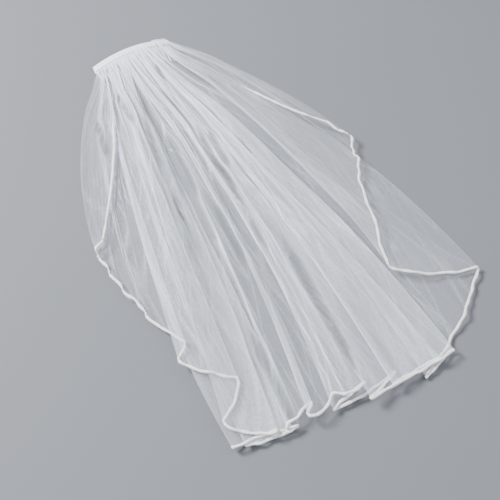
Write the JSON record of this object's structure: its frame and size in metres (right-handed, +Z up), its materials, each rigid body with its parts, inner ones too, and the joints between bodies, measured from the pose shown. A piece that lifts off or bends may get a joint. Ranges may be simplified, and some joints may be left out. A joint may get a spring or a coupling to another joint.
{
  "type": "bridal veil",
  "caption": "Short bridal veil laid out flat: one rounded cut of tulle gathered on a hair comb and fanned out in soft folds.",
  "frame": {"origin": "bottom centre of the laid-out veil's box, on the surface it lies on", "axes": "+X along the comb, +Y from the hem to the comb, +Z up"},
  "size_m": [0.4109, 0.6412, 0.0279],
  "materials": {
    "band": "smooth ribbon over the gathers",
    "comb": "clear to white plastic",
    "tulle": "fine sheer net",
    "trim": "narrow ribbed edging"
  },
  "bodies": {
    "root": {"band": "band", "comb": "comb", "veil_tulle": "tulle", "edge_trim": "trim"}
  },
  "joints": []
}
